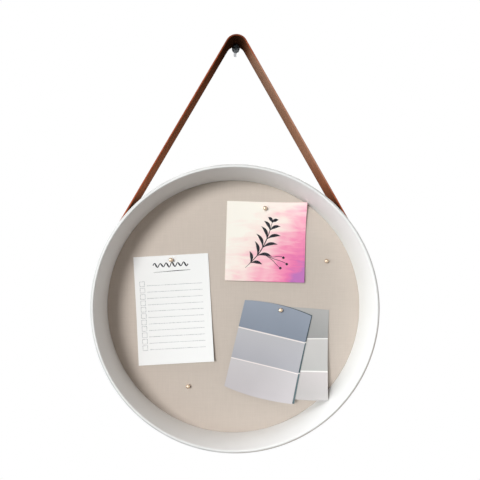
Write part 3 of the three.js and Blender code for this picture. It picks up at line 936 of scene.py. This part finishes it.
def cloth_cover():
    """Linen over the board's face and edge, turned in behind it in small pleats."""
    radius = cloth_high.x
    front, back = CLOTH_Y, cloth_high.y
    turned_in = back - PLEAT_ROOM
    face_rings, turn_in_rings, turn_steps = 12, 6, 5
    profile = [(radius * i / face_rings, front) for i in range(face_rings)]
    for i in range(turn_steps):
        turn = pi / 2 * i / (turn_steps - 1)
        profile.append(
            (radius - CLOTH_EDGE * (1 - sin(turn)), front + CLOTH_EDGE * (1 - cos(turn)))
        )
    profile += [(radius, back - CLOTH_EDGE), (radius - 0.4 * CLOTH_EDGE, turned_in)]
    for i in range(turn_in_rings):
        profile.append((radius - CLOTH_TURN_IN * (i + 1) / turn_in_rings, turned_in))
    bm = turned(profile, CLOTH_STEPS)
    for vert in bm.verts:
        if vert.co.y > turned_in - PLEAT_ROOM:
            reach = (radius - Vector((vert.co.x, vert.co.z)).length) / CLOTH_TURN_IN
            angle = atan2(vert.co.z, vert.co.x)
            pleat = cos(PLEATS * angle + 0.7 * sin(5 * angle))  # closer together here and there
            vert.co.y += PLEAT_DEPTH * pleat * min(1, 2 * reach)
    bmesh.ops.solidify(bm, geom=bm.faces[:], thickness=CLOTH_THICKNESS)
    bmesh.ops.translate(bm, verts=bm.verts, vec=AXIS)
    made = piece("stretched_linen", bm, "board", ["fabric_cover"], [linen])
    return made


# Strap


def strap():
    """One leather band: up the rim's side, over the wall screw and down to the other side."""
    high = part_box("strap")[1]
    outer = STRAP_SEAT + STRAP_THICKNESS
    arch = high.z - AXIS.z - STRAP_ARCH_RADIUS  # the arch's centre above the rim's axis
    lean = asin((outer - STRAP_ARCH_RADIUS) / arch)
    length = arch * cos(lean)
    end = -STRAP_TAIL / outer
    front = LIP_Y + STRAP_SETBACK

    bm = rectangle(STRAP_THICKNESS, STRAP_WIDTH)
    bmesh.ops.bevel(
        bm,
        geom=bm.verts[:],
        offset=STRAP_EDGE_ROUNDING,
        offset_type="OFFSET",
        affect="VERTICES",
        segments=3,
        profile=0.5,
        material=-1,
    )
    middle = Vector((STRAP_SEAT + STRAP_THICKNESS / 2, front + STRAP_WIDTH / 2, 0))
    bmesh.ops.translate(bm, verts=bm.verts, vec=middle)
    around = len(bm.verts)
    inner = {i for i, vert in enumerate(bm.verts) if vert.co.x < middle.x}
    bmesh.ops.rotate(bm, verts=bm.verts, cent=(0, 0, 0), matrix=Matrix.Rotation(-end, 3, "Y"))

    # Each stretch as its angle, its steps, its centre and its straight step, from end to end
    up = Vector((-sin(lean), 0, cos(lean))) * length / STRAP_RUN_STEPS
    down = Vector((-sin(lean), 0, -cos(lean))) * length / STRAP_RUN_STEPS
    tail = (lean - end, STRAP_TAIL_STEPS, (0, 0, 0), (0, 0, 0))
    stretches = [
        tail,
        (0, STRAP_RUN_STEPS, (0, 0, 0), up),
        (pi - 2 * lean, STRAP_ARCH_STEPS, (0, 0, arch), (0, 0, 0)),
        (0, STRAP_RUN_STEPS, (0, 0, 0), down),
        tail,
    ]
    last = bm.verts[:] + bm.edges[:] + bm.faces[:]
    for angle, count, centre, step in stretches:
        last = bmesh.ops.spin(
            bm, geom=last, cent=centre, axis=(0, -1, 0), angle=angle, steps=count, dvec=step
        )["geom_last"]

    # How far along the strap each ring of its vertices lies
    along = [0]
    for angle, count, centre, step in stretches:
        radius = STRAP_ARCH_RADIUS if centre[2] else outer
        pace = angle * radius / count if angle else length / count
        for _ in range(count):
            along.append(along[-1] + pace)
    bm.verts.ensure_lookup_table()
    places = {vert: along[i // around] for i, vert in enumerate(bm.verts)}
    inner_side = {vert for i, vert in enumerate(bm.verts) if i % around in inner}
    grain = bm.loops.layers.uv.new("along_strap")
    for face in bm.faces:
        for loop in face.loops:
            vert = loop.vert
            loop[grain].uv = (places[vert], vert.co.y - front)

    run_start = outer * sin(lean)
    run_end = arch + (STRAP_ARCH_RADIUS - STRAP_THICKNESS) * sin(lean)
    for vert in bm.verts:
        share = min(max((vert.co.z - run_start) / (run_end - run_start), 0), 1)
        vert.co.y += share * STRAP_DRIFT
    bmesh.ops.recalc_face_normals(bm, faces=bm.faces)
    bm.normal_update()
    for face in bm.faces:
        if abs(face.normal.y) > 0.5:  # its cut edges, to the front and the back
            face.material_index = 1
        elif inner_side.issuperset(face.verts):
            face.material_index = 2
    bmesh.ops.translate(bm, verts=bm.verts, vec=AXIS)
    looks = [leather, leather_edge, shaded_inner_leather]
    return piece("leather_strap", bm, "board", ["strap"], looks)


# Papers


class Sheet:
    """A sheet on its pin: its size, its tilt, and the bend that lifts it off the cloth."""

    def __init__(self, needle, size, pin, tilt, thickness, back, bend, bulges=(0, 0), cup=0):
        low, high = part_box(needle)
        self.pin = (low + high) / 2
        self.width, self.length = (x * MM for x in size)
        self.pin_right, self.pin_down = (x * MM for x in pin)
        self.tilt = radians(tilt)
        self.thickness, self.back = thickness * MM, back * MM
        self.top_bulge, self.foot_bulge = (x * MM for x in bulges)
        self.cup = cup * MM  # how far it stands off the cloth a full length away from its pin
        self.start = bend["start"] * MM
        self.direction = Vector((cos(radians(bend["heading"])), sin(radians(bend["heading"]))))
        right, up = bend["lifted"]
        corner = self.from_pin(right * self.width / 2, up * self.length / 2)
        run = corner.dot(self.direction) - self.start
        lift = bend["lift"] * MM
        self.radius = (run**2 + lift**2) / (2 * lift)

    def from_pin(self, right, up):
        """A place on the sheet, right and up from its middle, as right and up from the pin."""
        right -= self.pin_right
        up -= self.length / 2 - self.pin_down
        c, s = cos(self.tilt), sin(self.tilt)
        return Vector((right * c + up * s, up * c - right * s))

    def place(self, right, up, off):
        """Where that place lies, at a distance off the cloth before the bend."""
        flat = self.from_pin(right, up)
        off += self.cup * (flat.length / self.length) ** 2
        along = max(flat.dot(self.direction) - self.start, 0)
        off = self.radius - sqrt((self.radius - off) ** 2 - along**2)
        return Vector((self.pin.x + flat.x, CLOTH_Y - off, self.pin.z + flat.y))

    def mesh(self, cells=28):
        bm = bmesh.new()
        bmesh.ops.create_grid(bm, x_segments=cells, y_segments=cells, size=1)
        front = bm.verts[:]
        extruded = bmesh.ops.extrude_face_region(bm, geom=bm.faces[:], use_keep_orig=True)
        behind = [item for item in extruded["geom"] if isinstance(item, bmesh.types.BMVert)]
        flat = {}
        for verts, off in ((front, self.back + self.thickness), (behind, self.back)):
            for vert in verts:
                bulge = self.top_bulge if vert.co.y > 0 else self.foot_bulge
                up = vert.co.y * (self.length / 2 + bulge * (1 - vert.co.x**2))
                flat[vert] = (vert.co.x * self.width / 2, up, off)
        page = bm.loops.layers.uv.new("page")
        for face in bm.faces:
            for loop in face.loops:
                right, up, _ = flat[loop.vert]
                loop[page].uv = (right / self.width + 0.5, up / self.length + 0.5)
        for vert, spot in flat.items():
            vert.co = self.place(*spot)
        bmesh.ops.recalc_face_normals(bm, faces=bm.faces)
        return bm


memo = Sheet(
    "pin_needle_memo",
    MEMO_SIZE,
    pin=(0.2, 6.9),
    tilt=MEMO_TILT,
    thickness=MEMO_THICKNESS,
    back=PAPER_GAP,
    bend=MEMO_BEND,
    cup=2,
)
square = Sheet(
    "pin_needle_card",
    SQUARE_SIZE,
    pin=(-2.4, 9.2),
    tilt=1.2,
    thickness=CARD_THICKNESS,
    back=PAPER_GAP,
    bend=SQUARE_BEND,
    cup=3,
)
# The slate teal card is turned a little from the blue-grey one, so that its dark edge shows as a
# line along that card's right side, standing in for the shadow there as well as for a card
rear, dark, front = (
    Sheet("pin_needle_colours", size, pin, tilt, CARD_THICKNESS, back, COLOUR_BEND, bulges)
    for size, pin, tilt, back, bulges in (
        (REAR_SIZE, (-21.2, 4.3), 2.9, PAPER_GAP, REAR_BULGES),
        (COLOUR_SIZE, (2.4, 2.6), 12.2, PAPER_GAP + CARD_PITCH, COLOUR_BULGES),
        (COLOUR_SIZE, (3.6, 2.2), 13, PAPER_GAP + 2 * CARD_PITCH, COLOUR_BULGES),
    )
)
for card in (dark, front):
    card.radius = rear.radius  # the three lie on each other, so they bend as one


def papers():
    for name, sheet, body, node, slot, look in (
        ("pad_sheet", memo, "memo", "memo_sheet", "memo_paper", memo_paper),
        ("wash_painted_card", square, "card", "square_card", "printed_card", pink_card),
        ("warm_grey_card", rear, "colour_cards", "colour_card_rear", "warm_grey_card", warm_card),
        ("slate_teal_card", dark, "colour_cards", "colour_card_dark", "dark_card", dark_card),
        ("blue_grey_card", front, "colour_cards", "colour_card_front", "blue_grey_card", blue_card),
    ):
        piece(name, sheet.mesh(), body, [node], [look])


# Ink


def brush_strokes(name, sheet, strokes, body):
    """Strokes of thick ink on a sheet: each is a list of (right, up, width) points in mm."""
    curve = bpy.data.curves.new(name, "CURVE")
    curve.dimensions = "3D"
    curve.bevel_depth = 0.5  # so that a point's radius is the stroke's full width
    curve.bevel_resolution = 1
    curve.resolution_u = 6
    for points in strokes:
        spline = curve.splines.new("NURBS")
        spline.points.add(len(points) - 1)
        spline.use_endpoint_u = True
        spline.order_u = 3
        for point, (right, up, width) in zip(spline.points, points):
            point.co = (right, up, 0, 1)
            point.radius = width
    drawn = bpy.data.objects.new(name + "_line", curve)
    bm = bmesh.new()
    bm.from_mesh(drawn.to_mesh())
    bpy.data.objects.remove(drawn)
    top = sheet.back + sheet.thickness
    for vert in bm.verts:
        swell = INK_THICKNESS * (1 + max(min(vert.co.z, 1), -1))
        vert.co = sheet.place(vert.co.x * MM, vert.co.y * MM, top + swell)
    bmesh.ops.remove_doubles(bm, verts=bm.verts, dist=NEAR)
    bmesh.ops.recalc_face_normals(bm, faces=bm.faces)
    return piece(name, bm, body, [], [ink])


def wave_heading():
    """A brush-drawn wave with a line under it, at the top of the pad sheet."""
    half = MEMO_SIZE[1] / 2
    wave = []
    waves, left, right = 6, -26, 24
    middle, rise = half - 13.5, 4.6
    for i in range(waves * 4 + 1):
        turn = i / 4
        swell = 0.85 + 0.15 * cos(2 * tau * turn / waves)
        height = middle + rise * swell * (0, 1, 0, -1)[i % 4]
        width = (1.6, 0.7, 2.8, 0.8)[i % 4]
        wave.append((left + (right - left) * turn / waves, height, width))
    line = ((-26, 23.6, 0.3), (-8, 22.9, 0.7), (12, 22.3, 1.2), (27, 22.2, 0.4))
    return [wave, [(x, half - down, width) for x, down, width in line]]


def leaf_sprig():
    """A brush-drawn sprig: a curved stem, leaves in pairs, and a few berries."""
    stem = [
        (-28, -38, 0.4), (-20, -30, 1.1), (-7, -15, 1.4), (2, 4, 1.3), (7, 20, 0.9), (10, 33, 0.4)
    ]
    strokes = [stem]
    spread, belly = radians(50), 0.16  # a leaf's angle off the stem, and how far it bows out
    for share, reach in ((0.12, 17), (0.29, 21), (0.46, 22), (0.63, 20), (0.79, 16), (0.93, 10)):
        x, y, heading = along_path(stem, share)
        for side in (-1, 1):
            turn = heading + side * spread
            tip = Vector((x + reach * cos(turn), y + reach * sin(turn)))
            bow = Vector((-sin(turn), cos(turn))) * side * -belly * reach
            leaf = []
            for step, width in (
                (0, 0.4), (0.18, 1.6), (0.45, 4.8), (0.7, 4.2), (0.9, 1.6), (1, 0.2)
            ):
                spot = Vector((x, y)).lerp(tip, step) + bow * 4 * step * (1 - step)
                leaf.append((spot.x, spot.y, width))
            strokes.append(leaf)
    for x, y in ((26, -22), (31, -31), (22, -37)):
        strokes.append([(-3, -18, 0.3), (8, -23, 0.8), (x - 4, y + 3, 0.7), (x, y, 0.6)])
        strokes.append([(x - 2, y, 0.8), (x - 0.8, y, 3.8), (x + 0.8, y, 3.8), (x + 2, y, 0.8)])
    return strokes


def along_path(points, share):
    """The place and the heading at a share of a path's length."""
    spots = [Vector(point[:2]) for point in points]
    left = share * sum((b - a).length for a, b in zip(spots, spots[1:]))
    for a, b in zip(spots, spots[1:]):
        step = (b - a).length
        if left <= step:
            break
        left -= step
    spot = a.lerp(b, left / step)
    return spot.x, spot.y, atan2(b.y - a.y, b.x - a.x)


def ink_motifs():
    brush_strokes("wave_heading", memo, wave_heading(), "memo")
    brush_strokes("leaf_sprig", square, leaf_sprig(), "card")


# Pins


def pin_heads():
    """Flattened beads, each on a small collar."""
    for name, body in (
        ("memo", "memo_pin"),
        ("card", "card_pin"),
        ("colours", "colour_pin"),
        ("spare_right", "spare_pin_right"),
        ("spare_left", "spare_pin_left"),
    ):
        node = f"pin_head_{name}"
        low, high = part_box(node)
        collar_y = high.y - PIN_COLLAR
        middle, half = (low.y + collar_y) / 2, (collar_y - low.y) / 2
        radius = (high.x - low.x) / 2
        last_turn = acos(PIN_COLLAR_RADIUS / radius)
        profile = [(0, low.y)]
        for i in range(1, BEAD_STEPS + 1):
            turn = -pi / 2 + i * (pi / 2 + last_turn) / BEAD_STEPS
            profile.append((radius * cos(turn), middle + half * sin(turn)))
        profile += [(PIN_COLLAR_RADIUS, high.y), (0, high.y)]
        bm = turned(profile, PIN_STEPS)
        centre = (low + high) / 2
        bmesh.ops.translate(bm, verts=bm.verts, vec=(centre.x, 0, centre.z))
        piece(f"brass_bead_{name}", bm, body, [node], [brass])


# Screws


def dome(radius, height, top, steps=8):
    """The upper half of a domed head's profile, from its middle out."""
    turns = [pi / 2 * i / steps for i in range(steps + 1)]
    return [(radius * sin(turn), top + height * (1 - cos(turn))) for turn in turns]


def wall_screw():
    """A pan head with a cross recess, a plain shank, and a thread and a point in the wall."""
    low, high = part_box("wall_screw")
    seat = low.y + SCREW_HEAD_DEPTH
    thread_start = 0  # the wall's face
    profile = [(0, low.y)]
    for radius, y in dome(SCREW_EDGE, SCREW_EDGE, low.y, 5):
        profile.append((high.x - SCREW_EDGE + radius, y))
    profile += [
        (high.x, seat),
        (SCREW_RADIUS, seat),
        (SCREW_RADIUS, thread_start),
        (SCREW_CORE, thread_start + THREAD_PITCH),
        (SCREW_CORE, high.y - SCREW_TIP),
        (0, high.y),
    ]
    arms = [
        block((arm[0], 2 * SCREW_RECESS_DEPTH, arm[1]), (0, low.y, 0))
        for arm in (SCREW_RECESS, SCREW_RECESS[::-1])
    ]
    body = cut(turned(profile, SCREW_STEPS), arms)

    # The thread: one small ridge, spun and moved along, and drawn in to the point
    first = thread_start + THREAD_PITCH
    turns = (high.y - first) / THREAD_PITCH - 1
    root = SCREW_CORE - THREAD_ROOT
    corners = (
        (root, first - THREAD_HALF, 0), (SCREW_RADIUS, first, 0), (root, first + THREAD_HALF, 0)
    )
    ridge = [body.verts.new(corner) for corner in corners]
    section = body.faces.new(ridge)
    before = set(body.verts)
    bmesh.ops.spin(
        body,
        geom=[section, *section.edges, *ridge],
        cent=(0, 0, 0),
        axis=(0, 1, 0),
        angle=turns * tau,
        steps=int(turns * THREAD_STEPS),
        dvec=(0, THREAD_PITCH / THREAD_STEPS, 0),
    )
    for vert in set(body.verts) - before:
        share = min(1, max(0.05, (high.y - vert.co.y) / SCREW_TIP))
        vert.co.x *= share
        vert.co.z *= share
    bmesh.ops.recalc_face_normals(body, faces=body.faces)
    for face in body.faces:
        face.material_index = int(face.calc_center_median().y > seat + NEAR)
    looks = [black_steel, zinc_steel]  # only the head is blackened
    piece("pan_head_screw", body, "wall_screw", ["wall_screw"], looks, SCREW_CREASE)


def strap_screws():
    """Slotted screws with domed heads, through the strap's ends into the rim."""
    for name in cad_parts:
        if not name.startswith("strap_screw"):
            continue
        low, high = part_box(name)
        right = low.x > 0
        far, near = (high.x, low.x) if right else (low.x, high.x)
        turn = STRAP_SCREW_TURN if right else pi - STRAP_SCREW_TURN
        top, tip = abs(far / cos(turn)), abs(near / cos(turn))
        seat = top - STRAP_SCREW_HEAD_DEPTH
        # Turned along Y first, its head at the low end, and then laid along its own line
        profile = dome(STRAP_SCREW_HEAD, STRAP_SCREW_DOME, -top) + [
            (STRAP_SCREW_HEAD, -seat),
            (STRAP_SCREW_SHANK, -seat),
            (STRAP_SCREW_SHANK, -tip - STRAP_SCREW_TIP),
            (0, -tip),
        ]
        slot = block(STRAP_SCREW_SLOT, (0, -top, 0))
        bm = cut(turned(profile, STRAP_SCREW_STEPS), [slot])
        for angle, axis in ((STRAP_SCREW_SLOT_TURN, "Y"), (pi / 2, "Z"), (-turn, "Y")):
            bmesh.ops.rotate(
                bm, verts=bm.verts, cent=(0, 0, 0), matrix=Matrix.Rotation(angle, 3, axis)
            )
        y = (low.y + high.y) / 2
        bmesh.ops.translate(bm, verts=bm.verts, vec=(0, y, AXIS.z))
        piece(f"slotted_{name}", bm, "board", [name], [zinc_steel], SCREW_CREASE)


def dress_cad_nodes():
    """Gives the nodes that stay as the CAD made them their finishes."""
    looks = {
        "cork_sheet": pressed_cork(),
        "back_panel": hardboard(),
        "framers_point": zinc_steel,
        "pin_needle": zinc_steel,
    }
    for name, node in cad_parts.items():
        for start, look in looks.items():
            if name.startswith(start):
                node.data.materials.clear()
                node.data.materials.append(look)


# Surroundings


def camera():
    data = bpy.data.cameras.new("photo_camera")
    data.lens = CAMERA_LENS
    data.shift_x, data.shift_y = CAMERA_SHIFT
    made = scene_object("photo_camera", data)
    made.location = CAMERA_PLACE
    made.rotation_euler = (radians(90), CAMERA_ROLL, 0)
    bpy.context.scene.camera = made


def lamp(name, toward, strength, spread, tint):
    """A soft sun that shines from a direction."""
    data = bpy.data.lights.new(name, "SUN")
    data.color = linear(tint)[:3]
    data.energy = strength
    data.angle = radians(spread)
    made = scene_object(name, data)
    made.rotation_euler = Vector(toward).to_track_quat("Z", "Y").to_euler()


def white_room():
    """A world that looks white, and that lights the board as softly as its walls would."""
    world = bpy.data.worlds.new("white_room")
    bpy.context.scene.world = world
    world.use_nodes = True
    tree = world.node_tree
    tree.nodes.clear()
    rays = add(tree, "ShaderNodeLightPath")
    seen = rays.outputs["Is Camera Ray"]
    for kind in ("Is Glossy Ray", "Is Transmission Ray"):
        seen = add(tree, "ShaderNodeMath", {0: seen, 1: rays.outputs[kind]}, operation="MAXIMUM")
    soft = add(tree, "ShaderNodeBackground", {"Color": (1, 1, 1, 1), "Strength": AMBIENT})
    white = add(tree, "ShaderNodeBackground", {"Color": (1, 1, 1, 1), "Strength": 1})
    mixed = add(tree, "ShaderNodeMixShader", {0: seen, 1: soft, 2: white})
    add(tree, "ShaderNodeOutputWorld", {"Surface": mixed})


def floor():
    bm = rectangle(*FLOOR_SIZE)
    bmesh.ops.translate(bm, verts=bm.verts, vec=FLOOR_MIDDLE)
    made = mesh_object("floor", bm)
    made.data.materials.append(pale_floor())
    made.visible_diffuse = False  # it lies far below, and throws no light up at the board


def wall_card():
    """The wall's face around the screw, which hides what is driven into it.

    It shows from the room's side only, it gives no light and takes none, and it is as white as the
    room around it.
    """
    made_of = bpy.data.materials.new("white_card")
    made_of.use_nodes = True
    tree = made_of.node_tree
    tree.nodes.clear()
    side = add(tree, "ShaderNodeNewGeometry")
    white = add(tree, "ShaderNodeEmission", {"Color": (1, 1, 1, 1), "Strength": 1})
    clear = add(tree, "ShaderNodeBsdfTransparent")
    mixed = add(tree, "ShaderNodeMixShader", {0: side.outputs["Backfacing"], 1: white, 2: clear})
    add(tree, "ShaderNodeOutputMaterial", {"Surface": mixed})
    bm = rectangle(*WALL_CARD)
    bmesh.ops.rotate(bm, verts=bm.verts, cent=(0, 0, 0), matrix=Matrix.Rotation(pi / 2, 3, "X"))
    bmesh.ops.translate(bm, verts=bm.verts, vec=(0, 0, WALL_CARD_MIDDLE))
    made = mesh_object("wall_card", bm)
    made.data.materials.append(made_of)
    made.visible_diffuse = made.visible_glossy = made.visible_shadow = False


rim()
cloth_cover()
strap()
papers()
ink_motifs()
pin_heads()
wall_screw()
strap_screws()
dress_cad_nodes()
camera()
white_room()
floor()
wall_card()
bpy.context.scene.view_settings.view_transform = "Standard"
for settings in LAMPS:
    lamp(*settings)
